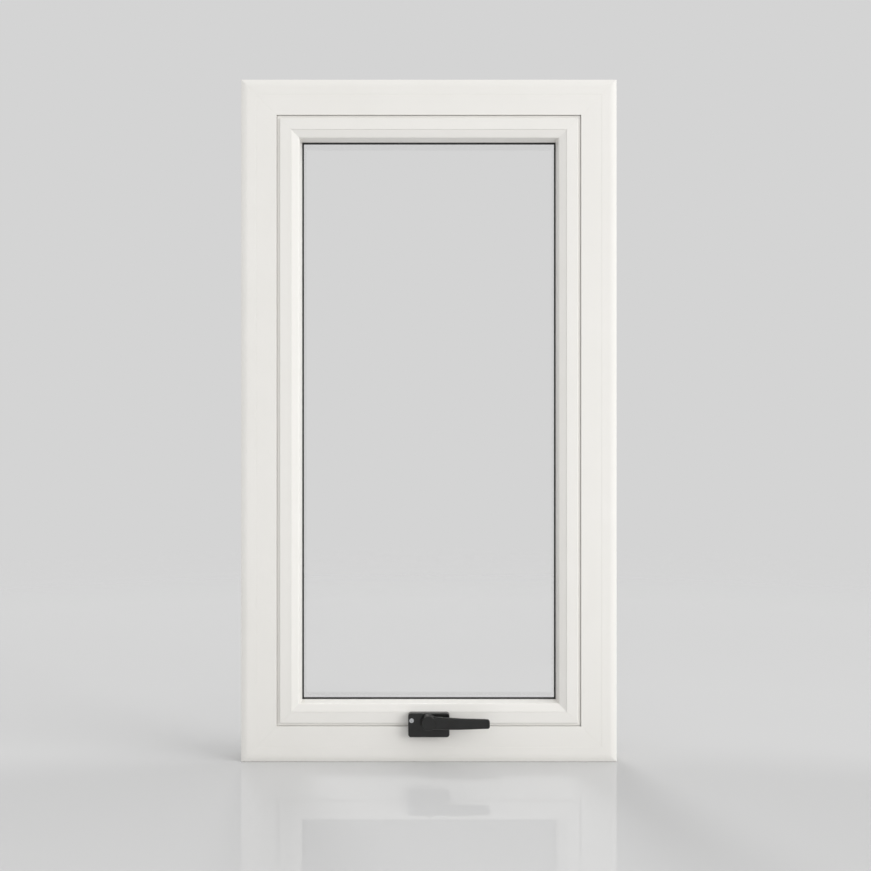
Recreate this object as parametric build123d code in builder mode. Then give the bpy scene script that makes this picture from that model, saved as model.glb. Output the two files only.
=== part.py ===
from build123d import *
import os

os.makedirs("parts", exist_ok=True)

# A top-hung window in white PVC: a fixed outer frame, an opening sash that swings outdoors,
# a double-glazed unit held by beads on the room side, and a black lever latch at the sill.
# X runs along the width, Z up, Y from the room to outdoors. The origin is the middle of the
# sill's underside, halfway through the frame's depth. Sizes are in millimetres.
#
# Every long piece is a profile drawn once in the section plane and cut to a mitred length on
# each of the four sides. In a section, x runs inwards from the window's outer edge to the
# glass and y runs outdoors from the room face.

# Overall size
WINDOW_WIDTH = 600.0
WINDOW_HEIGHT = 1090.0
FRAME_DEPTH = 65.0
WALL = 2.8
WEB = 1.5
CRISP_EDGE = 0.5
EASED_EDGE = 0.8
ROUND_EDGE = 1.2
WELD_WIDTH = 0.5
WELD_DEPTH = 0.25

# Outer frame
FRAME_FACE = 57.0
FRAME_OUTDOOR_FACE = 34.0
EDGE_WIDTH = 6.2
EDGE_DEPTH = 2.6
EDGE_RADIUS = 30.0
BACK_EDGE_RADIUS = 2.0
FACE_LINE_INSET = 24.5
FACE_LINE_WIDTH = 1.0
FACE_LINE_DEPTH = 0.25
NIB_DEPTH = 5.0
HARDWARE_WALL = 45.0
CHANNEL_WIDTH = 8.0
CHANNEL_DEPTH = 3.0
CHANNEL_OFFSET = 13.0

# Sash
SASH_GAP = 5.0
SASH_FACE = 18.0
SASH_EDGE_RADIUS = 1.0
GROOVE_DEPTH = 3.0
GROOVE_CLEARANCE = 0.6
LIP_THICKNESS = 3.0
LIP_REACH = 12.5
FLANGE_GAP = 4.0
FLANGE_THICKNESS = 11.0
GLASS_LEG_THICKNESS = 9.0
GLASS_LEG_REACH = 10.5
GLASS_LEG_BEVEL = 6.0

# Weather seals
INNER_SEAL_THICKNESS = 3.0
INNER_SEAL_ROUNDING = 1.2
OUTER_SEAL_THICKNESS = 5.0
OUTER_SEAL_ROUNDING = 2.0
SEAL_WIDTH = 5.0
SEAL_INSET = 1.0

# Glazing
GLASS_COVER = 3.0
PANE_THICKNESS = 4.0
PANE_SPACE = 16.0
INNER_GASKET_THICKNESS = 3.0
INNER_GASKET_WIDTH = 6.8
INNER_GASKET_LIP = 2.4
OUTER_GASKET_THICKNESS = 3.0
OUTER_GASKET_WIDTH = 6.0
OUTER_GASKET_LIP = 1.2
GASKET_TIP = 0.6
SPACER_HEIGHT = 6.0
SPACER_WALL = 0.6
SPACER_INSET = 3.5
BLOCK_LENGTH = 100.0

# Glazing bead
BEAD_CLEARANCE = 0.1
BEAD_RECESS = 0.3
BEAD_WIDTH = 15.2
BEVEL_DEPTH = 4.4
BEVEL_EDGE_RADIUS = 3.0
NOSE_TAPER = 2.7
BEAD_WALL = 1.4
BEAD_FOOT_DEPTH = 14.0
BEAD_FOOT_HEIGHT = 3.0
BEAD_FOOT_REACH = 2.0

# Friction stays
STAY_DROP = 70.0
STAY_LENGTH = 360.0
STAY_WIDTH = 20.0
STAY_SHEET = 2.0
TRACK_HEIGHT = 5.0
SHOE_LENGTH = 40.0
SHOE_HEIGHT = 8.0
SHOE_CLEARANCE = 0.3
ARM_LENGTH = 150.0
ARM_WIDTH = 14.0
ARM_THICKNESS = 3.0
STAY_BAR_LENGTH = 280.0
PIVOT_INSET = 20.0
PIVOT_RADIUS = 5.0

# Drainage
DRAIN_SLOT_LENGTH = 30.0
DRAIN_SLOT_HEIGHT = 5.0
DRAIN_SPACING = 360.0
DRAIN_RISE = 12.0
DRAIN_CAP_LENGTH = 42.0
DRAIN_CAP_HEIGHT = 16.0
DRAIN_CAP_DEPTH = 6.0
DRAIN_CAP_WALL = 1.2
DRAIN_CAP_CORNER = 2.0
DRAIN_CAP_EDGE = 1.5

# Latch
BASE_LENGTH = 65.4
BASE_HEIGHT = 38.0
BASE_THICKNESS = 14.0
BASE_CORNER = 4.5
BASE_WALL = 2.4
BASE_EDGE = 1.5
BASE_CENTRE_HEIGHT = 62.0
HUB_RISE = 5.5
SASH_RELIEF = 1.0
SPINDLE_RADIUS = 5.0
SPINDLE_CLEARANCE = 0.05
SPINDLE_BOSS_RADIUS = 9.0
STUD_SPACING = 48.0
STUD_DROP = 12.5
STUD_RADIUS = 2.2
STUD_CLEARANCE = 0.1
STUD_PILLAR_RADIUS = 4.6
BARREL_OFFSET = 27.2
BARREL_RISE = 2.0
BARREL_RADIUS = 3.8
BARREL_PROUD = 0.8
BARREL_LENGTH = 9.0
KEY_SLOT_WIDTH = 1.0
KEY_SLOT_LENGTH = 4.6
KEY_SLOT_DEPTH = 3.0
HUB_RADIUS = 13.3
HUB_HEIGHT = 13.0
HUB_CLEARANCE = 0.4
HUB_TAPER = 2.2
HUB_EDGE = 1.5
HUB_FOOT_EDGE = 0.6
LEVER_REACH = 96.0
LEVER_ROOT_WIDTH = 20.7
LEVER_TIP_WIDTH = 14.6
LEVER_CORNER_SHARE = 0.38
LEVER_TIP_CORNER = 4.5
LEVER_TIP_EDGE = 1.6
TIP_ALLOWANCE = 0.15
CAM_THICKNESS = 3.2
CAM_SPACE = 2.4
CAM_REACH = 8.0
CAM_WIDTH = 7.0
KEEPER_WIDTH = 18.0
KEEPER_THICKNESS = 1.8
KEEPER_CLEARANCE = 0.4

# Places that follow from the sizes above, all measured in the section
ROOM_FACE = -FRAME_DEPTH / 2
SASH_EDGE = FRAME_FACE + SASH_GAP
BEAD_JOINT = SASH_EDGE + SASH_FACE
LIP_DEPTH = NIB_DEPTH + INNER_SEAL_THICKNESS
LIP_BACK = LIP_DEPTH + LIP_THICKNESS
FLANGE_DEPTH = FRAME_DEPTH - FLANGE_THICKNESS
LANDING_DEPTH = FLANGE_DEPTH - OUTER_SEAL_THICKNESS
GLASS_LEG_DEPTH = FRAME_DEPTH - GLASS_LEG_THICKNESS
OUTER_PANE_BACK = GLASS_LEG_DEPTH - OUTER_GASKET_THICKNESS
OUTER_PANE_FRONT = OUTER_PANE_BACK - PANE_THICKNESS
INNER_PANE_BACK = OUTER_PANE_FRONT - PANE_SPACE
INNER_PANE_FRONT = INNER_PANE_BACK - PANE_THICKNESS
BEAD_BACK = INNER_PANE_FRONT - INNER_GASKET_THICKNESS
GLASS_EDGE = BEAD_JOINT + GLASS_COVER
OUTDOOR_SIGHTLINE = BEAD_JOINT + GLASS_LEG_REACH
SPACER_EDGE = GLASS_EDGE + SPACER_INSET
BEAD_NOSE = BEAD_JOINT + BEAD_WIDTH
SPINDLE_HEIGHT = BASE_CENTRE_HEIGHT + HUB_RISE


def run_plane(origin, inwards, along):
    """The plane of a section: its x axis points inwards and its normal runs along the piece."""
    return Plane(origin=origin, x_dir=inwards, z_dir=along)


# Each side of the window: the section's plane at one corner, and the length to the next corner
SIDES = {
    "left": (
        run_plane((-WINDOW_WIDTH / 2, ROOM_FACE, 0), (1, 0, 0), (0, 0, 1)),
        WINDOW_HEIGHT,
    ),
    "right": (
        run_plane((WINDOW_WIDTH / 2, ROOM_FACE, WINDOW_HEIGHT), (-1, 0, 0), (0, 0, -1)),
        WINDOW_HEIGHT,
    ),
    "top": (
        run_plane((-WINDOW_WIDTH / 2, ROOM_FACE, WINDOW_HEIGHT), (0, 0, -1), (1, 0, 0)),
        WINDOW_WIDTH,
    ),
    "bottom": (
        run_plane((WINDOW_WIDTH / 2, ROOM_FACE, 0), (0, 0, 1), (-1, 0, 0)),
        WINDOW_WIDTH,
    ),
}


def mitred_length(section, side, welded=False):
    """One side of a mitred frame: the section run from corner to corner, with 45 degree ends.
    A welded side has half of the fine groove that the cleaned weld leaves along each mitre, on
    the room face and on the outdoor face."""
    plane, length = SIDES[side]
    inwards, along = plane.x_dir, plane.z_dir
    corners = [(plane.origin, along), (plane.origin + along * length, -along)]
    with BuildPart() as run:
        with BuildSketch(plane):
            add(section)
        extrude(amount=length)
        for corner, away in corners:
            split(bisect_by=Plane(origin=corner, z_dir=away - inwards))
        if welded:
            for corner, away in corners:
                for depth in (0, FRAME_DEPTH):
                    mitre_line = Plane(
                        origin=corner + plane.y_dir * depth,
                        x_dir=away - inwards,
                        z_dir=away + inwards,
                    )
                    with BuildSketch(mitre_line):
                        Polygon(
                            (-WELD_WIDTH / 2, 0),
                            (0, -WELD_DEPTH),
                            (WELD_WIDTH / 2, 0),
                            (0, WELD_DEPTH),
                            align=None,
                        )
                    extrude(amount=2 * BEAD_NOSE, mode=Mode.SUBTRACT)
    return run.part


def mitred_loop(section):
    """The section run right round the window as one piece, as gaskets and spacers are."""
    runs = [mitred_length(section, side) for side in SIDES]
    with BuildPart() as loop:
        add(runs)
    return loop.part


def chamber(inner, front, outer, back):
    """A hollow chamber in a profile, given by its two edges across and its two depths."""
    with Locations(((inner + outer) / 2, (front + back) / 2)):
        Rectangle(outer - inner, back - front, mode=Mode.SUBTRACT)


# Outer frame: an extruded profile with a softened room edge, a fine line round the face, a
# rebate that the sash's outdoor flange closes into, and three chambers
with BuildSketch() as frame_section:
    with BuildLine():
        FilletPolyline(
            (0, EDGE_DEPTH),
            (EDGE_WIDTH, 0),
            (FRAME_FACE, 0),
            (FRAME_FACE, NIB_DEPTH),
            (HARDWARE_WALL, NIB_DEPTH),
            (HARDWARE_WALL, LANDING_DEPTH),
            (FRAME_OUTDOOR_FACE, LANDING_DEPTH),
            (FRAME_OUTDOOR_FACE, FRAME_DEPTH),
            (0, FRAME_DEPTH),
            radius=[
                EASED_EDGE,
                EDGE_RADIUS,
                CRISP_EDGE,
                CRISP_EDGE,
                EASED_EDGE,
                EASED_EDGE,
                EASED_EDGE,
                ROUND_EDGE,
                BACK_EDGE_RADIUS,
            ],
            close=True,
        )
    make_face()
    with Locations((FACE_LINE_INSET, 0)):
        Polygon(
            (-FACE_LINE_WIDTH, 0),
            (0, 0),
            (0, FACE_LINE_DEPTH),
            align=None,
            mode=Mode.SUBTRACT,
        )
    for channel_middle in (FRAME_DEPTH / 2 - CHANNEL_OFFSET, FRAME_DEPTH / 2 + CHANNEL_OFFSET):
        with Locations((CHANNEL_DEPTH / 2, channel_middle)):
            Rectangle(CHANNEL_DEPTH, CHANNEL_WIDTH, mode=Mode.SUBTRACT)
    frame_spine = CHANNEL_DEPTH + WALL
    first_web = NIB_DEPTH + 2 * WALL
    chamber(EDGE_WIDTH + WALL, WALL, HARDWARE_WALL - WALL, first_web)
    chamber(frame_spine, first_web + WEB, HARDWARE_WALL - WALL, LANDING_DEPTH - WALL)
    chamber(
        frame_spine,
        LANDING_DEPTH - WALL + WEB,
        FRAME_OUTDOOR_FACE - WALL,
        FRAME_DEPTH - WALL,
    )

# Opening sash: a face flush with the frame, a land that makes the floor of the groove between
# them, a lip behind the frame's nib, a flange that lands on the frame from outdoors, and a leg
# that backs the glass
with BuildSketch() as sash_section:
    flange_edge = FRAME_OUTDOOR_FACE + FLANGE_GAP
    land_edge = FRAME_FACE + GROOVE_CLEARANCE
    with BuildLine():
        FilletPolyline(
            (SASH_EDGE, 0),
            (BEAD_JOINT, 0),
            (BEAD_JOINT, GLASS_LEG_DEPTH),
            (OUTDOOR_SIGHTLINE, GLASS_LEG_DEPTH),
            (OUTDOOR_SIGHTLINE, FRAME_DEPTH - GLASS_LEG_BEVEL),
            (OUTDOOR_SIGHTLINE - GLASS_LEG_BEVEL, FRAME_DEPTH),
            (flange_edge, FRAME_DEPTH),
            (flange_edge, FLANGE_DEPTH),
            (SASH_EDGE, FLANGE_DEPTH),
            (SASH_EDGE, LIP_BACK),
            (SASH_EDGE - LIP_REACH, LIP_BACK),
            (SASH_EDGE - LIP_REACH, LIP_DEPTH),
            (land_edge, LIP_DEPTH),
            (land_edge, GROOVE_DEPTH),
            (SASH_EDGE, GROOVE_DEPTH),
            radius=[
                SASH_EDGE_RADIUS,
                BEAD_RECESS,
                EASED_EDGE,
                CRISP_EDGE,
                EASED_EDGE,
                ROUND_EDGE,
                ROUND_EDGE,
                CRISP_EDGE,
                EASED_EDGE,
                EASED_EDGE,
                CRISP_EDGE,
                CRISP_EDGE,
                EASED_EDGE,
                CRISP_EDGE,
                EASED_EDGE,
            ],
            close=True,
        )
    make_face()
    with Locations(
        (BEAD_JOINT - BEAD_FOOT_REACH / 2, BEAD_FOOT_DEPTH + BEAD_FOOT_HEIGHT / 2)
    ):
        Rectangle(
            BEAD_FOOT_REACH + 2 * BEAD_CLEARANCE,
            BEAD_FOOT_HEIGHT + 2 * BEAD_CLEARANCE,
            mode=Mode.SUBTRACT,
        )
    sash_spine = BEAD_JOINT - BEAD_FOOT_REACH - WALL
    middle_web = INNER_PANE_FRONT - WALL
    chamber(SASH_EDGE + WALL, WALL, sash_spine, middle_web)
    chamber(land_edge + WALL, GROOVE_DEPTH + WALL, sash_spine, LIP_BACK - WALL)
    chamber(SASH_EDGE + WALL, middle_web + WEB, sash_spine, FLANGE_DEPTH)
    chamber(flange_edge + WALL, FLANGE_DEPTH + WALL, BEAD_JOINT - WALL, FRAME_DEPTH - WALL)

# Glazing bead: a hollow clip-in strip, bevelled towards the glass
with BuildSketch() as bead_section:
    bead_start = BEAD_JOINT + BEAD_CLEARANCE
    bevel_end = BEAD_NOSE - NOSE_TAPER
    bevel_bottom = BEAD_RECESS + BEVEL_DEPTH
    with BuildLine():
        FilletPolyline(
            (bead_start, BEAD_RECESS),
            (bevel_end, bevel_bottom),
            (BEAD_NOSE, BEAD_BACK),
            (bead_start, BEAD_BACK),
            radius=[BEAD_RECESS, BEVEL_EDGE_RADIUS, CRISP_EDGE, CRISP_EDGE],
            close=True,
        )
    make_face()
    with BuildLine():
        Polyline(
            (bead_start + BEAD_WALL, BEAD_RECESS + 2 * BEAD_WALL),
            (bevel_end - BEAD_WALL, bevel_bottom + BEAD_WALL),
            (BEAD_NOSE - BEAD_WALL, BEAD_BACK - BEAD_WALL),
            (bead_start + BEAD_WALL, BEAD_BACK - BEAD_WALL),
            close=True,
        )
    make_face(mode=Mode.SUBTRACT)
    with Locations(
        (bead_start - BEAD_FOOT_REACH / 2, BEAD_FOOT_DEPTH + BEAD_FOOT_HEIGHT / 2)
    ):
        Rectangle(BEAD_FOOT_REACH + BEAD_CLEARANCE, BEAD_FOOT_HEIGHT)

# Gasket between bead and glass, with a sloping lip that shows as a dark line round the pane
with BuildSketch() as inner_gasket_section:
    Polygon(
        (BEAD_NOSE - INNER_GASKET_WIDTH, BEAD_BACK),
        (BEAD_NOSE, BEAD_BACK),
        (BEAD_NOSE + INNER_GASKET_LIP, INNER_PANE_FRONT - GASKET_TIP),
        (BEAD_NOSE + INNER_GASKET_LIP, INNER_PANE_FRONT),
        (BEAD_NOSE - INNER_GASKET_WIDTH, INNER_PANE_FRONT),
        align=None,
    )

# Gasket between glass and the sash's outdoor leg
with BuildSketch() as outer_gasket_section:
    Polygon(
        (OUTDOOR_SIGHTLINE - OUTER_GASKET_WIDTH, OUTER_PANE_BACK),
        (OUTDOOR_SIGHTLINE + OUTER_GASKET_LIP, OUTER_PANE_BACK),
        (OUTDOOR_SIGHTLINE + OUTER_GASKET_LIP, OUTER_PANE_BACK + GASKET_TIP),
        (OUTDOOR_SIGHTLINE - CRISP_EDGE, GLASS_LEG_DEPTH),
        (OUTDOOR_SIGHTLINE - OUTER_GASKET_WIDTH, GLASS_LEG_DEPTH),
        align=None,
    )

# Hollow bar that holds the two panes apart, and the black sealant behind it
with BuildSketch() as spacer_section:
    with Locations((SPACER_EDGE + SPACER_HEIGHT / 2, INNER_PANE_BACK + PANE_SPACE / 2)):
        Rectangle(SPACER_HEIGHT, PANE_SPACE)
        Rectangle(SPACER_HEIGHT - 2 * SPACER_WALL, PANE_SPACE - 2 * SPACER_WALL, mode=Mode.SUBTRACT)
with BuildSketch() as sealant_section:
    with Locations((GLASS_EDGE + SPACER_INSET / 2, INNER_PANE_BACK + PANE_SPACE / 2)):
        Rectangle(SPACER_INSET, PANE_SPACE)

# Weather seals: one between the frame's nib and the sash's lip, one under the sash's flange
seal_offset = SEAL_INSET + SEAL_WIDTH / 2
with BuildSketch() as inner_seal_section:
    with Locations((FRAME_FACE - seal_offset, NIB_DEPTH + INNER_SEAL_THICKNESS / 2)):
        RectangleRounded(SEAL_WIDTH, INNER_SEAL_THICKNESS, INNER_SEAL_ROUNDING)
with BuildSketch() as outer_seal_section:
    with Locations((flange_edge + seal_offset, LANDING_DEPTH + OUTER_SEAL_THICKNESS / 2)):
        RectangleRounded(SEAL_WIDTH, OUTER_SEAL_THICKNESS, OUTER_SEAL_ROUNDING)


def write(part, name):
    """Labels a finished piece and writes it to its own file."""
    part.label = name
    export_step(part, f"parts/{name}.step")


# The latch stands on the room face with its spindle above the frame, over the sash's rail
LATCH_PLANE = Plane(origin=(0, ROOM_FACE, SPINDLE_HEIGHT), x_dir=(1, 0, 0), z_dir=(0, -1, 0))
BASE_MIDDLE = (0, -HUB_RISE)
BARREL_PLACE = (-BARREL_OFFSET, BARREL_RISE)
STUD_PLACES = [(end * STUD_SPACING / 2, -HUB_RISE - STUD_DROP) for end in (-1, 1)]

# The keeper's height steps above the sash: the cam turns between its foot and its lip
CAM_TOP = CAM_SPACE + CAM_THICKNESS
KEEPER_LIP = CAM_TOP + KEEPER_CLEARANCE
KEEPER_TOP = KEEPER_LIP + KEEPER_THICKNESS
HUB_FOOT = BASE_THICKNESS + HUB_CLEARANCE

# Frame members. The sill has drain slots outdoors and two holes for the latch's studs
for side in ("left", "right", "top"):
    write(mitred_length(frame_section.sketch, side, welded=True), f"frame_{side}")

sill = mitred_length(frame_section.sketch, "bottom", welded=True)
with BuildPart() as frame_bottom:
    add(sill)
    with BuildSketch(Plane.XZ.offset(ROOM_FACE)):
        with Locations((0, DRAIN_RISE)):
            with GridLocations(DRAIN_SPACING, 0, 2, 1):
                SlotOverall(DRAIN_SLOT_LENGTH, DRAIN_SLOT_HEIGHT)
    extrude(amount=2 * WALL, mode=Mode.SUBTRACT)
    with BuildSketch(LATCH_PLANE):
        with Locations(*STUD_PLACES):
            Circle(STUD_RADIUS + STUD_CLEARANCE)
    extrude(amount=-WALL, mode=Mode.SUBTRACT)
frame_bottom.part.label = "frame_bottom"
export_step(frame_bottom.part, "parts/frame_bottom.step")

# Sash members and beads
for side in SIDES:
    write(mitred_length(sash_section.sketch, side, welded=True), f"sash_{side}")
    write(mitred_length(bead_section.sketch, side), f"bead_{side}")

# Gaskets, seals and the spacer run right round
for name, section in {
    "inner_glazing_gasket": inner_gasket_section,
    "outer_glazing_gasket": outer_gasket_section,
    "inner_weather_seal": inner_seal_section,
    "outer_weather_seal": outer_seal_section,
    "spacer_bar": spacer_section,
    "edge_sealant": sealant_section,
}.items():
    write(mitred_loop(section.sketch), name)

# Panes
for name, front in {"inner_pane": INNER_PANE_FRONT, "outer_pane": OUTER_PANE_FRONT}.items():
    with BuildPart() as pane:
        with BuildSketch(Plane.XZ.offset(-(ROOM_FACE + front))):
            with Locations((0, WINDOW_HEIGHT / 2)):
                Rectangle(WINDOW_WIDTH - 2 * GLASS_EDGE, WINDOW_HEIGHT - 2 * GLASS_EDGE)
        extrude(amount=-PANE_THICKNESS)
    write(pane.part, name)

# Setting blocks: the glass stands on them at its quarter points
for name, place in {"setting_block_left": -1, "setting_block_right": 1}.items():
    with BuildPart() as block:
        with BuildSketch(Plane.XY.offset(BEAD_JOINT)):
            with Locations(
                (place * WINDOW_WIDTH / 6, ROOM_FACE + (INNER_PANE_FRONT + OUTER_PANE_BACK) / 2)
            ):
                Rectangle(BLOCK_LENGTH, OUTER_PANE_BACK - INNER_PANE_FRONT)
        extrude(amount=GLASS_COVER)
    write(block.part, name)

# Friction stays: each has a channelled track on the frame's side wall, a shoe that slides in
# it, a bar on the sash's edge that turns on the shoe, and an arm from the track to the bar
for name, place in {"left": -1, "right": 1}.items():
    stay_plane = Plane(
        origin=(
            place * (WINDOW_WIDTH / 2 - HARDWARE_WALL),
            ROOM_FACE + (LIP_BACK + LANDING_DEPTH) / 2,
            WINDOW_HEIGHT - STAY_DROP,
        ),
        x_dir=(0, 0, -1),
        z_dir=(-place, 0, 0),
    )
    fixed_pivot = STAY_LENGTH - PIVOT_INSET
    arm_end = fixed_pivot - ARM_LENGTH
    with BuildPart() as stay_track:
        with BuildSketch(stay_plane):
            Rectangle(STAY_LENGTH, STAY_WIDTH, align=(Align.MIN, Align.CENTER))
        extrude(amount=TRACK_HEIGHT)
        with BuildSketch(stay_plane.offset(STAY_SHEET)):
            Rectangle(STAY_LENGTH, STAY_WIDTH - 2 * STAY_SHEET, align=(Align.MIN, Align.CENTER))
        extrude(amount=TRACK_HEIGHT, mode=Mode.SUBTRACT)
        with BuildSketch(stay_plane.offset(STAY_SHEET)):
            with Locations((fixed_pivot, 0)):
                Circle(PIVOT_RADIUS)
        extrude(amount=SHOE_HEIGHT - STAY_SHEET)
    write(stay_track.part, f"stay_track_{name}")

    with BuildPart() as stay_shoe:
        with BuildSketch(stay_plane.offset(STAY_SHEET)):
            with Locations((PIVOT_INSET, 0)):
                Rectangle(SHOE_LENGTH, STAY_WIDTH - 2 * STAY_SHEET - 2 * SHOE_CLEARANCE)
        extrude(amount=SHOE_HEIGHT - STAY_SHEET)
    write(stay_shoe.part, f"stay_shoe_{name}")

    with BuildPart() as stay_arm:
        with BuildSketch(stay_plane.offset(SHOE_HEIGHT)):
            with Locations(((fixed_pivot + arm_end) / 2, 0)):
                SlotCenterToCenter(ARM_LENGTH, ARM_WIDTH)
        extrude(amount=ARM_THICKNESS)
    write(stay_arm.part, f"stay_arm_{name}")

    with BuildPart() as stay_bar:
        with BuildSketch(stay_plane.offset(SASH_EDGE - HARDWARE_WALL)):
            with Locations((PIVOT_INSET - ARM_WIDTH / 2 + STAY_BAR_LENGTH / 2, 0)):
                SlotOverall(STAY_BAR_LENGTH, ARM_WIDTH)
        extrude(amount=-ARM_THICKNESS)
        for pivot, seat in ((PIVOT_INSET, SHOE_HEIGHT), (arm_end, SHOE_HEIGHT + ARM_THICKNESS)):
            with BuildSketch(stay_plane.offset(seat)):
                with Locations((pivot, 0)):
                    Circle(PIVOT_RADIUS)
            extrude(amount=SASH_EDGE - HARDWARE_WALL - ARM_THICKNESS - seat)
    write(stay_bar.part, f"stay_bar_{name}")

# Drain caps: small hoods over the sill's slots, open below
for name, place in {"drain_cap_left": -1, "drain_cap_right": 1}.items():
    with BuildPart() as drain_cap:
        with BuildSketch(Plane.XZ.offset(ROOM_FACE)):
            with Locations((place * DRAIN_SPACING / 2, DRAIN_RISE)):
                RectangleRounded(DRAIN_CAP_LENGTH, DRAIN_CAP_HEIGHT, DRAIN_CAP_CORNER)
        extrude(amount=-DRAIN_CAP_DEPTH)
        fillet(drain_cap.faces().sort_by(Axis.Y)[-1].edges(), DRAIN_CAP_EDGE)
        with BuildSketch(Plane.XZ.offset(ROOM_FACE)):
            with Locations((place * DRAIN_SPACING / 2, DRAIN_RISE - DRAIN_CAP_WALL)):
                Rectangle(DRAIN_CAP_LENGTH - 2 * DRAIN_CAP_WALL, DRAIN_CAP_HEIGHT)
        extrude(amount=-(DRAIN_CAP_DEPTH - DRAIN_CAP_WALL), mode=Mode.SUBTRACT)
    write(drain_cap.part, name)

# Latch base: a hollow casting with a plain front. Two studs behind it hold it on the sill, and
# it stands clear of the sash
with BuildPart() as latch_base:
    roof_underside = BASE_THICKNESS - BASE_WALL / 2
    with BuildSketch(LATCH_PLANE):
        with Locations(BASE_MIDDLE):
            RectangleRounded(BASE_LENGTH, BASE_HEIGHT, BASE_CORNER)
    extrude(amount=BASE_THICKNESS)
    fillet(latch_base.faces().sort_by(Axis.Y)[0].edges(), BASE_EDGE)
    with BuildSketch(LATCH_PLANE):
        with Locations(BASE_MIDDLE):
            RectangleRounded(
                BASE_LENGTH - 2 * BASE_WALL, BASE_HEIGHT - 2 * BASE_WALL, BASE_CORNER - BASE_WALL
            )
    extrude(amount=BASE_THICKNESS - BASE_WALL, mode=Mode.SUBTRACT)
    boss_start = KEEPER_TOP + KEEPER_CLEARANCE
    with BuildSketch(LATCH_PLANE.offset(boss_start)):
        Circle(SPINDLE_BOSS_RADIUS)
        with Locations(BARREL_PLACE):
            Circle(BARREL_RADIUS + BASE_WALL / 2)
    extrude(amount=roof_underside - boss_start)
    with BuildSketch(LATCH_PLANE):
        with Locations(*STUD_PLACES):
            Circle(STUD_PILLAR_RADIUS)
    extrude(amount=roof_underside)
    with BuildSketch(LATCH_PLANE):
        with Locations(*STUD_PLACES):
            Circle(STUD_RADIUS)
    extrude(amount=-WALL)
    with BuildSketch(LATCH_PLANE):
        with Locations((0, FRAME_FACE - SPINDLE_HEIGHT)):
            Rectangle(BASE_LENGTH, BASE_HEIGHT, align=(Align.CENTER, Align.MIN))
    extrude(amount=SASH_RELIEF, mode=Mode.SUBTRACT)
    with BuildSketch(LATCH_PLANE):
        Circle(SPINDLE_RADIUS + SPINDLE_CLEARANCE)
        with Locations(BARREL_PLACE):
            Circle(BARREL_RADIUS + SPINDLE_CLEARANCE)
    extrude(amount=BASE_THICKNESS, mode=Mode.SUBTRACT)
latch_base.part.label = "latch_base"
export_step(latch_base.part, "parts/latch_base.step")

# Lock barrel in the base, with its key slot
with BuildPart() as lock_barrel:
    barrel_front = LATCH_PLANE.offset(BASE_THICKNESS + BARREL_PROUD)
    with BuildSketch(barrel_front):
        with Locations(BARREL_PLACE):
            Circle(BARREL_RADIUS)
    extrude(amount=-BARREL_LENGTH)
    chamfer(lock_barrel.faces().sort_by(Axis.Y)[0].edges(), BARREL_PROUD / 2)
    with BuildSketch(barrel_front):
        with Locations(BARREL_PLACE):
            SlotOverall(KEY_SLOT_LENGTH, KEY_SLOT_WIDTH, rotation=90)
    extrude(amount=-KEY_SLOT_DEPTH, mode=Mode.SUBTRACT)
lock_barrel.part.label = "lock_barrel"
export_step(lock_barrel.part, "parts/lock_barrel.step")

# Spindle and cam: the cam points up behind the keeper's lip when the latch is shut
with BuildPart() as latch_cam:
    with BuildSketch(LATCH_PLANE.offset(CAM_SPACE)):
        Circle(SPINDLE_RADIUS)
    extrude(amount=HUB_FOOT - CAM_SPACE)
    with BuildSketch(LATCH_PLANE.offset(CAM_SPACE)):
        Rectangle(CAM_WIDTH, CAM_REACH, align=(Align.CENTER, Align.MIN))
        Circle(CAM_REACH, mode=Mode.INTERSECT)
    extrude(amount=CAM_THICKNESS)
latch_cam.part.label = "latch_cam"
export_step(latch_cam.part, "parts/latch_cam.step")

# Keeper on the sash's rail: a small clip whose lip stands in front of the cam
with BuildPart() as sash_keeper:
    keeper_low = SPINDLE_RADIUS + KEEPER_CLEARANCE
    keeper_web = CAM_REACH + KEEPER_CLEARANCE
    with BuildSketch(LATCH_PLANE):
        with Locations((0, keeper_low)):
            Rectangle(
                KEEPER_WIDTH,
                keeper_web + KEEPER_THICKNESS - keeper_low,
                align=(Align.CENTER, Align.MIN),
            )
    extrude(amount=KEEPER_TOP)
    with BuildSketch(LATCH_PLANE.offset(KEEPER_THICKNESS)):
        with Locations((0, keeper_low)):
            Rectangle(KEEPER_WIDTH, keeper_web - keeper_low, align=(Align.CENTER, Align.MIN))
    extrude(amount=KEEPER_LIP - KEEPER_THICKNESS, mode=Mode.SUBTRACT)
sash_keeper.part.label = "sash_keeper"
export_step(sash_keeper.part, "parts/sash_keeper.step")

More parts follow.
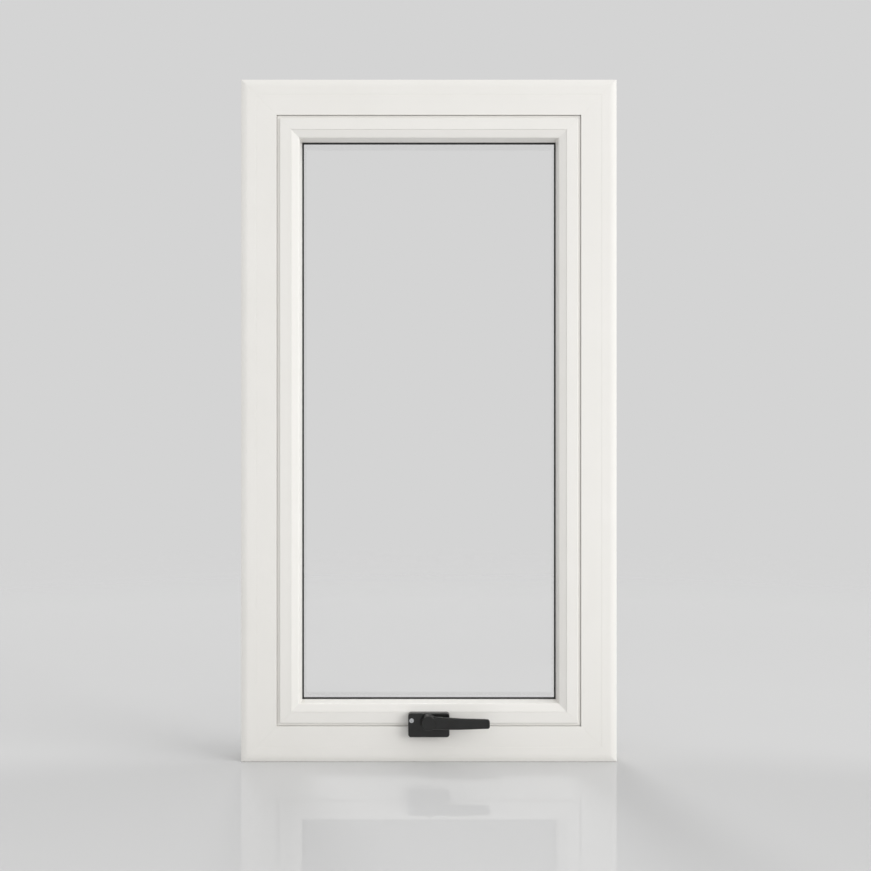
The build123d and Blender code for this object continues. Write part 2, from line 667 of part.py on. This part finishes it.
# Lever: a round hub turned about the spindle, and an arm that rises clear of the base and
# narrows to a tip with rounded corners. Each station of the arm is its share of the reach, then
# the height of its middle above the hub's foot and its thickness
ARM_STATIONS = [
    (0.04, 6.4, 10.4),
    (0.16, 7.6, 10.4),
    (0.36, 11.6, 9.4),
    (0.66, 13.8, 8.2),
    (1, 14.2, 7.2),
]
with BuildPart() as latch_lever:
    for share, middle, thickness in ARM_STATIONS:
        station = Plane(
            origin=LATCH_PLANE.from_local_coords((share * LEVER_REACH, 0, HUB_FOOT + middle)),
            x_dir=(0, 0, 1),
            z_dir=(1, 0, 0),
        )
        with BuildSketch(station):
            RectangleRounded(
                LEVER_ROOT_WIDTH + (LEVER_TIP_WIDTH - LEVER_ROOT_WIDTH) * share,
                thickness,
                thickness * LEVER_CORNER_SHARE,
            )
    loft()
    with BuildSketch(LATCH_PLANE):
        with BuildLine():
            FilletPolyline(
                (0, LEVER_ROOT_WIDTH / 2 + TIP_ALLOWANCE),
                (LEVER_REACH, LEVER_TIP_WIDTH / 2 + TIP_ALLOWANCE),
                (LEVER_REACH, -LEVER_TIP_WIDTH / 2 - TIP_ALLOWANCE),
                (0, -LEVER_ROOT_WIDTH / 2 - TIP_ALLOWANCE),
                radius=[0, LEVER_TIP_CORNER, LEVER_TIP_CORNER, 0],
                close=True,
            )
        make_face()
    extrude(amount=LEVER_REACH, mode=Mode.INTERSECT)
    tip_start = LEVER_REACH - LEVER_TIP_CORNER
    fillet(latch_lever.edges().filter_by(lambda edge: edge.center().X > tip_start), LEVER_TIP_EDGE)
    hub_plane = Plane(origin=LATCH_PLANE.origin, x_dir=(1, 0, 0), z_dir=(0, 0, -1))
    with BuildSketch(hub_plane):
        with BuildLine():
            FilletPolyline(
                (0, HUB_FOOT),
                (HUB_RADIUS, HUB_FOOT),
                (HUB_RADIUS - HUB_TAPER, HUB_FOOT + HUB_HEIGHT),
                (0, HUB_FOOT + HUB_HEIGHT),
                radius=[0, HUB_FOOT_EDGE, HUB_EDGE, 0],
                close=True,
            )
        make_face()
    revolve(axis=Axis(LATCH_PLANE.origin, (0, -1, 0)))
latch_lever.part.label = "latch_lever"
export_step(latch_lever.part, "parts/latch_lever.step")
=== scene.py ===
# A top-hung window in white PVC with a black lever latch, finished piece by piece in the order
# it is put together: frame, sash, rubbers, setting blocks, sealed glass unit, beads, friction
# stays, drain caps, latch.
import math

import bmesh
import bpy
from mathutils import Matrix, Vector


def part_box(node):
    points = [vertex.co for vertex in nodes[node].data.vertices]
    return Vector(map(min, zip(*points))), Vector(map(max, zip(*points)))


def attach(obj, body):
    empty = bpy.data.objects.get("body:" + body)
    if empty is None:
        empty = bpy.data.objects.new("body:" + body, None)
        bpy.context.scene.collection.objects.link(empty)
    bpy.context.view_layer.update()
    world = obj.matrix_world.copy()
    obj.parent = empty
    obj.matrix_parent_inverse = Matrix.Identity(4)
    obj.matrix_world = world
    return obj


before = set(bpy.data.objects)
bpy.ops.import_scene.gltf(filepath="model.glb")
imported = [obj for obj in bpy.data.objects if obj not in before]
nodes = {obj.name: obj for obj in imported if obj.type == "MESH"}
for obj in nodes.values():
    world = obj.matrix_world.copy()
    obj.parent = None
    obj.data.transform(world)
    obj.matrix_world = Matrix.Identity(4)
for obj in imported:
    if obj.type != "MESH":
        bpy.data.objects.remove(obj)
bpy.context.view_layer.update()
scene = bpy.context.scene

# Outer frame
# Four lengths of PVC profile, extruded hollow in one white compound and welded at the mitres.
# The die leaves a satin skin with faint lines along each length.


def linear(code):
    """A colour written as sRGB hex, as the linear red, green, blue and alpha of a shader."""
    shares = [int(code[i : i + 2], 16) / 255 for i in (1, 3, 5)]
    return (*[s / 12.92 if s <= 0.04045 else ((s + 0.055) / 1.055) ** 2.4 for s in shares], 1)


def add_node(tree, kind, inputs=None, **settings):
    """Adds a node. Its inputs are given as values, or as the sockets that feed them."""
    made = tree.nodes.new(kind)
    for name, value in settings.items():
        setattr(made, name, value)
    for name, value in (inputs or {}).items():
        if isinstance(value, bpy.types.NodeSocket):
            tree.links.new(value, made.inputs[name])
        else:
            made.inputs[name].default_value = value
    return made


def new_material(name):
    """A material with nothing in it but its output."""
    material = bpy.data.materials.new(name)
    material.use_nodes = True
    material.node_tree.nodes.clear()
    output = add_node(material.node_tree, "ShaderNodeOutputMaterial")
    return material, material.node_tree, output


def finish_nodes(material, *names):
    """Gives CAD nodes their real material in every slot."""
    for name in names:
        mesh = nodes[name].data
        mesh.materials.clear()
        mesh.materials.append(material)


# A Mix node gives its colour sockets the same names as its others, so they go by their places.
MIX_SHARE, MIX_FIRST, MIX_SECOND, MIX_RESULT = 0, 6, 7, 2

PVC_WHITE = "#EFEDE9"
PVC_SHADE = "#EAE8E3"
PVC_IOR = 1.53
PVC_ROUGHNESS = (0.30, 0.40)
# Real die lines lie less than 0.5 mm apart. They are drawn wider, so that they show.
DIE_LINE_SPACING = 0.0016
DIE_LINE_LENGTH = 0.35
DIE_LINE_DEPTH = 0.000006
DIE_LINE_DETAIL = 2.0
DIE_LINE_BREAKS = 0.6
FLOW_PATCH = 0.09
FLOW_DETAIL = 2.0


def extruded_pvc(name, upright):
    """White PVC as it leaves the die: fine lines run along the length, and the compound's tone
    drifts a little in long soft patches."""
    material, tree, output = new_material(name)
    across, along = 1 / DIE_LINE_SPACING, 1 / DIE_LINE_LENGTH
    place = add_node(tree, "ShaderNodeTexCoord").outputs["Object"]
    stretch = (across, across, along) if upright else (along, across, across)
    run = add_node(
        tree, "ShaderNodeMapping", {"Vector": place, "Scale": stretch}
    ).outputs["Vector"]
    lines = add_node(
        tree,
        "ShaderNodeTexNoise",
        {"Vector": run, "Scale": 1.0, "Detail": DIE_LINE_DETAIL, "Roughness": DIE_LINE_BREAKS},
    ).outputs["Fac"]
    patches = add_node(
        tree,
        "ShaderNodeTexNoise",
        {"Vector": place, "Scale": 1 / FLOW_PATCH, "Detail": FLOW_DETAIL},
    ).outputs["Fac"]
    tone = add_node(
        tree,
        "ShaderNodeMix",
        {MIX_SHARE: patches, MIX_FIRST: linear(PVC_WHITE), MIX_SECOND: linear(PVC_SHADE)},
        data_type="RGBA",
    ).outputs[MIX_RESULT]
    gloss = add_node(
        tree,
        "ShaderNodeMapRange",
        {"Value": lines, "To Min": PVC_ROUGHNESS[0], "To Max": PVC_ROUGHNESS[1]},
    ).outputs["Result"]
    skin = add_node(
        tree, "ShaderNodeBump", {"Height": lines, "Strength": 1.0, "Distance": DIE_LINE_DEPTH}
    ).outputs["Normal"]
    shader = add_node(
        tree,
        "ShaderNodeBsdfPrincipled",
        {"Base Color": tone, "Roughness": gloss, "IOR": PVC_IOR, "Normal": skin},
    )
    tree.links.new(shader.outputs["BSDF"], output.inputs["Surface"])
    return material


pvc_upright = extruded_pvc("extruded_white_pvc_upright", upright=True)
pvc_level = extruded_pvc("extruded_white_pvc_level", upright=False)
finish_nodes(pvc_upright, "frame_left", "frame_right")
finish_nodes(pvc_level, "frame_top", "frame_bottom")

# Opening sash
# Four lengths of a slimmer profile in the same white compound, welded at the mitres into the
# smaller frame that opens.
finish_nodes(pvc_upright, "sash_left", "sash_right")
finish_nodes(pvc_level, "sash_top", "sash_bottom")

# Rubbers
# Glazing gaskets and weather seals of extruded black rubber, pressed into the grooves of the
# profiles, and the black sealant that closes the edge of the glass unit. All have a dull skin
# with a dry, fine grain.
RUBBER_BLACK = "#262625"
RUBBER_ROUGHNESS = (0.55, 0.7)
RUBBER_IOR = 1.52
RUBBER_GRAIN = 0.0008
RUBBER_GRAIN_DEPTH = 0.00004
GRAIN_DETAIL = 2.0


def fine_grained(name, colour, roughness, grain, depth, ior):
    """A surface with an even fine grain, as on rubber, moulded plastic or powder coat."""
    material, tree, output = new_material(name)
    place = add_node(tree, "ShaderNodeTexCoord").outputs["Object"]
    grains = add_node(
        tree, "ShaderNodeTexNoise", {"Vector": place, "Scale": 1 / grain, "Detail": GRAIN_DETAIL}
    ).outputs["Fac"]
    gloss = add_node(
        tree,
        "ShaderNodeMapRange",
        {"Value": grains, "To Min": roughness[0], "To Max": roughness[1]},
    ).outputs["Result"]
    skin = add_node(
        tree, "ShaderNodeBump", {"Height": grains, "Strength": 1.0, "Distance": depth}
    ).outputs["Normal"]
    shader = add_node(
        tree,
        "ShaderNodeBsdfPrincipled",
        {"Base Color": linear(colour), "Roughness": gloss, "IOR": ior, "Normal": skin},
    )
    tree.links.new(shader.outputs["BSDF"], output.inputs["Surface"])
    return material


rubber = fine_grained(
    "extruded_black_rubber",
    RUBBER_BLACK,
    RUBBER_ROUGHNESS,
    RUBBER_GRAIN,
    RUBBER_GRAIN_DEPTH,
    RUBBER_IOR,
)
finish_nodes(
    rubber,
    "inner_glazing_gasket",
    "outer_glazing_gasket",
    "inner_weather_seal",
    "outer_weather_seal",
    "edge_sealant",
)

# Setting blocks
# Moulded polypropylene packers, laid in the sash towards each end of the glass to carry its
# weight. They come from the mould an even, half-dull grey.
BLOCK_GREY = "#555A60"
BLOCK_ROUGHNESS = (0.45, 0.6)
BLOCK_IOR = 1.49
BLOCK_GRAIN = 0.001
BLOCK_GRAIN_DEPTH = 0.00004
blocks = fine_grained(
    "moulded_grey_polypropylene",
    BLOCK_GREY,
    BLOCK_ROUGHNESS,
    BLOCK_GRAIN,
    BLOCK_GRAIN_DEPTH,
    BLOCK_IOR,
)
finish_nodes(blocks, "setting_block_left", "setting_block_right")

# Sealed glass unit
# Two panes of clear 4 mm float glass, held apart by a folded bar of bare aluminium and closed
# at the edge. The unit stands on the setting blocks against the sash's gasket.
GLASS_TINT = "#FFFFFF"
GLASS_IOR = 1.52


def float_glass(name):
    """Clear float glass: flat, polished by its making, and open to the light that falls through
    it on what stands behind."""
    material, tree, output = new_material(name)
    shader = add_node(
        tree,
        "ShaderNodeBsdfPrincipled",
        {
            "Base Color": linear(GLASS_TINT),
            "Roughness": 0.0,
            "IOR": GLASS_IOR,
            "Transmission Weight": 1.0,
        },
    )
    opening = add_node(tree, "ShaderNodeBsdfTransparent")
    ray = add_node(tree, "ShaderNodeLightPath").outputs
    falls_through = add_node(
        tree,
        "ShaderNodeMath",
        {0: ray["Is Shadow Ray"], 1: ray["Is Diffuse Ray"]},
        operation="MAXIMUM",
    ).outputs["Value"]
    mix = add_node(
        tree,
        "ShaderNodeMixShader",
        {0: falls_through, 1: shader.outputs["BSDF"], 2: opening.outputs["BSDF"]},
    )
    tree.links.new(mix.outputs["Shader"], output.inputs["Surface"])
    return material


finish_nodes(float_glass("clear_float_glass"), "inner_pane", "outer_pane")

# Bare aluminium strip: pale grey, with a soft, slightly uneven shine.
ALUMINIUM = "#C9CACB"
ALUMINIUM_ROUGHNESS = (0.32, 0.46)
ROLL_MARK = 0.0006
ROLL_MARK_DETAIL = 3.0


def marked_metal(name, colour, roughness, mark):
    """Bare or plated metal: a shine broken by fine marks of one size, as the rolls, the polish
    or the plating leave them."""
    material, tree, output = new_material(name)
    place = add_node(tree, "ShaderNodeTexCoord").outputs["Object"]
    marks = add_node(
        tree,
        "ShaderNodeTexNoise",
        {"Vector": place, "Scale": 1 / mark, "Detail": ROLL_MARK_DETAIL},
    ).outputs["Fac"]
    gloss = add_node(
        tree,
        "ShaderNodeMapRange",
        {"Value": marks, "To Min": roughness[0], "To Max": roughness[1]},
    ).outputs["Result"]
    shader = add_node(
        tree,
        "ShaderNodeBsdfPrincipled",
        {"Base Color": linear(colour), "Metallic": 1.0, "Roughness": gloss},
    )
    tree.links.new(shader.outputs["BSDF"], output.inputs["Surface"])
    return material


aluminium = marked_metal("rolled_aluminium", ALUMINIUM, ALUMINIUM_ROUGHNESS, ROLL_MARK)
finish_nodes(aluminium, "spacer_bar")

# Spacer perforations
# Two rows of fine slits punched along the bar's face, so that the drying beads in the bar can
# take up the damp between the panes. Each is drawn as a small flat face of painted shade, standing
# for the dark inside of the hole, that lies just clear of the bar.

# The bar's face lies its height in from its outer edge. The rows lie off the middle of the face
# and stop short of the corners.
SPACER_HEIGHT = 0.006
SLIT_LENGTH = 0.0014
SLIT_WIDTH = 0.0005
SLIT_CORNERS = 8
SLIT_PITCH = 0.004
SLIT_ROWS = (-0.0035, 0.0035)
SLIT_LIFT = 0.00004
SLIT_END = 0.012
# Painted shade: the dark of the bar's inside as it shows through a slit, given to the flat slit
# faces.
SLIT_PAINTED_SHADE = "#3A3B3C"
SLIT_ROUGHNESS = (0.5, 0.65)
# A slit is a blank one metre across, scaled down to its length and width. Its face looks away
# from the bar, square to the row and to the way outdoors.
BLANK_RADIUS = 0.5
OUTDOORS = (0, 1, 0)

spacer_low, spacer_high = (Vector(corner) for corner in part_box("spacer_bar"))
inset = SPACER_HEIGHT + SLIT_LIFT
left, right = spacer_low.x + inset, spacer_high.x - inset
bottom, top = spacer_low.z + inset, spacer_high.z - inset
row_lines = bmesh.new()
for row in SLIT_ROWS:
    y = (spacer_low.y + spacer_high.y) / 2 + row
    ends = [
        ((left, y, bottom + SLIT_END), (left, y, top - SLIT_END)),
        ((left + SLIT_END, y, top), (right - SLIT_END, y, top)),
        ((right, y, top - SLIT_END), (right, y, bottom + SLIT_END)),
        ((right - SLIT_END, y, bottom), (left + SLIT_END, y, bottom)),
    ]
    for start, end in ends:
        row_lines.edges.new([row_lines.verts.new(start), row_lines.verts.new(end)])
row_mesh = bpy.data.meshes.new("slit_rows")
row_lines.to_mesh(row_mesh)
row_lines.free()

slit_tree = bpy.data.node_groups.new("punched_slits", "GeometryNodeTree")
sockets = slit_tree.interface
sockets.new_socket("Rows", in_out="INPUT", socket_type="NodeSocketGeometry")
pitch_input = sockets.new_socket("Pitch", in_out="INPUT", socket_type="NodeSocketFloat")
size_input = sockets.new_socket("Slit size", in_out="INPUT", socket_type="NodeSocketVector")
metal_input = sockets.new_socket("Material", in_out="INPUT", socket_type="NodeSocketMaterial")
sockets.new_socket("Slits", in_out="OUTPUT", socket_type="NodeSocketGeometry")
given = add_node(slit_tree, "NodeGroupInput").outputs
lines = add_node(slit_tree, "GeometryNodeMeshToCurve", {"Mesh": given["Rows"]})
points = add_node(
    slit_tree,
    "GeometryNodeCurveToPoints",
    {"Curve": lines.outputs["Curve"], "Length": given["Pitch"]},
    mode="LENGTH",
)
facing = add_node(
    slit_tree,
    "ShaderNodeVectorMath",
    {0: OUTDOORS, 1: points.outputs["Tangent"]},
    operation="CROSS_PRODUCT",
)
laid_flat = add_node(
    slit_tree,
    "FunctionNodeAlignRotationToVector",
    {"Vector": facing.outputs["Vector"]},
    axis="Z",
)
in_line = add_node(
    slit_tree,
    "FunctionNodeAlignRotationToVector",
    {"Rotation": laid_flat.outputs["Rotation"], "Vector": points.outputs["Tangent"]},
    axis="X",
    pivot_axis="Z",
)
slit = add_node(
    slit_tree,
    "GeometryNodeMeshCircle",
    {"Vertices": SLIT_CORNERS, "Radius": BLANK_RADIUS},
    fill_type="NGON",
)
slits = add_node(
    slit_tree,
    "GeometryNodeInstanceOnPoints",
    {
        "Points": points.outputs["Points"],
        "Instance": slit.outputs["Mesh"],
        "Rotation": in_line.outputs["Rotation"],
        "Scale": given["Slit size"],
    },
)
joined = add_node(slit_tree, "GeometryNodeRealizeInstances", {0: slits.outputs["Instances"]})
finished = add_node(
    slit_tree,
    "GeometryNodeSetMaterial",
    {"Geometry": joined.outputs["Geometry"], "Material": given["Material"]},
)
add_node(slit_tree, "NodeGroupOutput", {0: finished.outputs["Geometry"]})

# The slit faces take this painted shade in place of real holes.
slit_shade_paint = marked_metal("painted_slit_shade", SLIT_PAINTED_SHADE, SLIT_ROUGHNESS, ROLL_MARK)
row_object = bpy.data.objects.new("slit_rows", row_mesh)
scene.collection.objects.link(row_object)
punch = row_object.modifiers.new("punched_slits", "NODES")
punch.node_group = slit_tree
punch[pitch_input.identifier] = SLIT_PITCH
punch[size_input.identifier] = (SLIT_LENGTH, SLIT_WIDTH, 1.0)
punch[metal_input.identifier] = slit_shade_paint
evaluated = row_object.evaluated_get(bpy.context.evaluated_depsgraph_get())
slit_mesh = bpy.data.meshes.new_from_object(evaluated)
slit_mesh.name = "spacer_slits"
slit_mesh.materials.pop(index=0)  # the empty slot that comes before the tree's material
bpy.data.objects.remove(row_object)
spacer_slits = bpy.data.objects.new("spacer_slits", slit_mesh)
scene.collection.objects.link(spacer_slits)
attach(spacer_slits, "window")

# Glazing beads
# Four clip-in strips of the same profile family, sawn to a mitre and tapped into the sash from
# the room, where they hold the glass unit.
finish_nodes(pvc_upright, "bead_left", "bead_right")
finish_nodes(pvc_level, "bead_top", "bead_bottom")

# Friction stays
# Stamped strips of stainless steel in the gaps beside the sash, which carry it as it opens: a
# track, a shoe, an arm and a bar on each side. The rolls leave them a soft, bright shine.
STAINLESS = "#C3C3C1"
STAINLESS_ROUGHNESS = (0.26, 0.38)
stainless = marked_metal("rolled_stainless_steel", STAINLESS, STAINLESS_ROUGHNESS, ROLL_MARK)
for side in ("left", "right"):
    finish_nodes(stainless, *[f"stay_{piece}_{side}" for piece in ("track", "shoe", "arm", "bar")])

# Drain caps
# Hoods moulded in the frame's white, pushed into the slots in the sill outdoors to keep the
# wind out. The mould leaves them a little duller than the frame, with no lines.
CAP_ROUGHNESS = (0.35, 0.45)
CAP_GRAIN = 0.0012
CAP_GRAIN_DEPTH = 0.00002
CAP_IOR = 1.54
caps = fine_grained(
    "moulded_white_abs", PVC_WHITE, CAP_ROUGHNESS, CAP_GRAIN, CAP_GRAIN_DEPTH, CAP_IOR
)
finish_nodes(caps, "drain_cap_left", "drain_cap_right")

# Latch
# A die-cast base and lever, a lock barrel, and a cam that turns behind the keeper on the sash.
# Two studs behind the base pass into the sill.

# Baked powder: satin black with a faint ripple, drawn 1.2 mm wide so that it shows.
POWDER_BLACK = "#171716"
POWDER_ROUGHNESS = (0.28, 0.38)
POWDER_IOR = 1.5
POWDER_GRAIN = 0.0012
POWDER_GRAIN_DEPTH = 0.00002
powder_coat = fine_grained(
    "black_powder_coat",
    POWDER_BLACK,
    POWDER_ROUGHNESS,
    POWDER_GRAIN,
    POWDER_GRAIN_DEPTH,
    POWDER_IOR,
)
finish_nodes(powder_coat, "latch_base", "latch_lever")

# Chrome plate over a polished barrel: the brightest metal here, with a few soft marks.
CHROME = "#C4C6C8"
CHROME_ROUGHNESS = (0.12, 0.2)
POLISH_MARK = 0.002
chrome = marked_metal("plated_chrome", CHROME, CHROME_ROUGHNESS, POLISH_MARK)
finish_nodes(chrome, "lock_barrel")

# Zinc plate on pressed steel: a pale blue grey with a fine, uneven spangle.
ZINC = "#B9BCC0"
ZINC_ROUGHNESS = (0.28, 0.4)
ZINC_SPANGLE = 0.0015
zinc = marked_metal("zinc_plated_steel", ZINC, ZINC_ROUGHNESS, ZINC_SPANGLE)
finish_nodes(zinc, "latch_cam", "sash_keeper")

# Studio
# A pale polished floor that fades into an even grey surround, broad light from all round, a
# soft key lamp at the right, one above and behind, two small ones that fill the window's right
# side, and a level camera in the room.
SURROUND_GREY = "#D4D4D4"
# The backdrop is grey up to a soft edge, and mirrors on the floor and glass show the dimmer
# studio above that edge, behind the window.
STUDIO_SHADE = "#7A7A7A"
BACKDROP_TOP = (0.24, 0.262)
BACKDROP_SIDE = (0.0, 0.3)
# The broad light is a little stronger from the right and from the room.
BROAD_LIGHT = "#FFFFFF"
SURROUND_LIGHT = 0.78
SURROUND_SLOPE = (0.116, -0.05, 0)

world = bpy.data.worlds.new("studio")
scene.world = world
world.use_nodes = True
tree = world.node_tree
tree.nodes.clear()
ray = add_node(tree, "ShaderNodeLightPath").outputs
straight_or_mirrored = add_node(
    tree,
    "ShaderNodeMath",
    {0: ray["Is Camera Ray"], 1: ray["Is Glossy Ray"]},
    operation="MAXIMUM",
).outputs["Value"]
seen = add_node(
    tree,
    "ShaderNodeMath",
    {0: straight_or_mirrored, 1: ray["Is Transmission Ray"]},
    operation="MAXIMUM",
).outputs["Value"]
direction = add_node(tree, "ShaderNodeTexCoord").outputs["Generated"]
parts = add_node(tree, "ShaderNodeSeparateXYZ", {"Vector": direction}).outputs
above = add_node(
    tree,
    "ShaderNodeMapRange",
    {"Value": parts["Z"], "From Min": BACKDROP_TOP[0], "From Max": BACKDROP_TOP[1]},
).outputs["Result"]
behind = add_node(
    tree,
    "ShaderNodeMapRange",
    {"Value": parts["Y"], "From Min": BACKDROP_SIDE[0], "From Max": BACKDROP_SIDE[1]},
).outputs["Result"]
mirrored = add_node(
    tree, "ShaderNodeMath", {0: 1.0, 1: ray["Is Camera Ray"]}, operation="SUBTRACT"
).outputs["Value"]
past_edge = add_node(
    tree, "ShaderNodeMath", {0: above, 1: behind}, operation="MULTIPLY"
).outputs["Value"]
shaded = add_node(
    tree, "ShaderNodeMath", {0: past_edge, 1: mirrored}, operation="MULTIPLY"
).outputs["Value"]
surround_colour = add_node(
    tree,
    "ShaderNodeMix",
    {MIX_SHARE: shaded, MIX_FIRST: linear(SURROUND_GREY), MIX_SECOND: linear(STUDIO_SHADE)},
    data_type="RGBA",
).outputs[MIX_RESULT]
slope = add_node(
    tree, "ShaderNodeVectorMath", {0: direction, 1: SURROUND_SLOPE}, operation="DOT_PRODUCT"
).outputs["Value"]
strength = add_node(
    tree, "ShaderNodeMath", {0: slope, 1: SURROUND_LIGHT}, operation="ADD"
).outputs["Value"]
broad_light = add_node(
    tree, "ShaderNodeBackground", {"Color": linear(BROAD_LIGHT), "Strength": strength}
)
surround = add_node(
    tree, "ShaderNodeBackground", {"Color": surround_colour, "Strength": 1.0}
)
choice = add_node(
    tree,
    "ShaderNodeMixShader",
    {0: seen, 1: broad_light.outputs["Background"], 2: surround.outputs["Background"]},
)
add_node(tree, "ShaderNodeOutputWorld", {"Surface": choice.outputs["Shader"]})

# The floor lies just under the sill, and fades out between two distances from the window. Its
# polish mirrors less than a varnish would, so its IOR is low.
FLOOR_GREY = "#D3D3D3"
FLOOR_ROUGHNESS = 0.04
FLOOR_IOR = 1.18
FLOOR_RADIUS = 4.5
FLOOR_SIDES = 96
FLOOR_FADE = (1.6, 3.8)
FLOOR_DROP = 0.0003

floor_mesh = bpy.data.meshes.new("floor")
floor_shape = bmesh.new()
bmesh.ops.create_circle(
    floor_shape, cap_ends=True, segments=FLOOR_SIDES, radius=FLOOR_RADIUS
)
bmesh.ops.translate(floor_shape, verts=floor_shape.verts, vec=(0, 0, -FLOOR_DROP))
floor_shape.to_mesh(floor_mesh)
floor_shape.free()
floor = bpy.data.objects.new("floor", floor_mesh)
scene.collection.objects.link(floor)

floor_paint, tree, output = new_material("polished_pale_floor")
place = add_node(tree, "ShaderNodeTexCoord").outputs["Object"]
distance = add_node(tree, "ShaderNodeVectorMath", {0: place}, operation="LENGTH").outputs["Value"]
fade = add_node(
    tree,
    "ShaderNodeMapRange",
    {"Value": distance, "From Min": FLOOR_FADE[0], "From Max": FLOOR_FADE[1]},
    interpolation_type="SMOOTHSTEP",
).outputs["Result"]
paint = add_node(
    tree,
    "ShaderNodeBsdfPrincipled",
    {"Base Color": linear(FLOOR_GREY), "Roughness": FLOOR_ROUGHNESS, "IOR": FLOOR_IOR},
)
nothing = add_node(tree, "ShaderNodeBsdfTransparent")
mix = add_node(
    tree,
    "ShaderNodeMixShader",
    {0: fade, 1: paint.outputs["BSDF"], 2: nothing.outputs["BSDF"]},
)
tree.links.new(mix.outputs["Shader"], output.inputs["Surface"])
floor_mesh.materials.append(floor_paint)

# A distant lamp of strength pi lights a white face that is square to it to full white. The ways
# are those in which the light travels, and the spreads are angles in degrees.
KEY_LIGHT = 0.38 * math.pi
KEY_WAY = (-0.31, 0.17, -0.14)
KEY_SPREAD = 42
BACK_LIGHT = 0.17 * math.pi
BACK_WAY = (0.127, -0.655, -0.745)
BACK_SPREAD = 14
# Each fill lamp has its power in watts, its place and the point that it aims at.
FILL_LAMPS = {
    "high_fill_lamp": (0.75, (0.95, -0.9, 0.95), (0.1, 0, 0.75)),
    "low_fill_lamp": (1.0, (0.85, -0.8, 0.22), (0.1, 0, 0.15)),
}
FILL_SIZE = 0.4


def place_lamp(name, light, way, place=(0, 0, 0)):
    """Hangs a lamp at a place, and turns it so that its light travels the given way."""
    lamp = bpy.data.objects.new(name, light)
    lamp.location = place
    lamp.rotation_mode = "QUATERNION"
    lamp.rotation_quaternion = Vector(way).to_track_quat("-Z", "Y")
    lamp.visible_glossy = False
    scene.collection.objects.link(lamp)
    return lamp


for name, power, way, spread in (
    ("key_lamp", KEY_LIGHT, KEY_WAY, KEY_SPREAD),
    ("back_lamp", BACK_LIGHT, BACK_WAY, BACK_SPREAD),
):
    light = bpy.data.lights.new(name, "SUN")
    light.energy = power
    light.angle = math.radians(spread)
    place_lamp(name, light, way)

# The fill lamps light only the window, so that they leave no bright pool on the floor.
window_pieces = bpy.data.collections.new("window_pieces")
for piece in (*nodes.values(), spacer_slits):
    window_pieces.objects.link(piece)
for name, (power, place, aim) in FILL_LAMPS.items():
    light = bpy.data.lights.new(name, "AREA")
    light.energy = power
    light.size = FILL_SIZE
    lamp = place_lamp(name, light, Vector(aim) - Vector(place), place)
    lamp.light_linking.receiver_collection = window_pieces

# The camera stands about 2 m into the room, level and square to the window's middle.
CAMERA_PLACE = (0.0106, -1.9629, 0.5213)
LEVEL = (math.pi / 2, 0, 0)
LENS = 50
SENSOR_WIDTH = 36
camera_data = bpy.data.cameras.new("camera")
camera_data.lens = LENS
camera_data.sensor_width = SENSOR_WIDTH
camera = bpy.data.objects.new("camera", camera_data)
camera.location = CAMERA_PLACE
camera.rotation_euler = LEVEL
scene.collection.objects.link(camera)
scene.camera = camera
scene.view_settings.view_transform = "Standard"
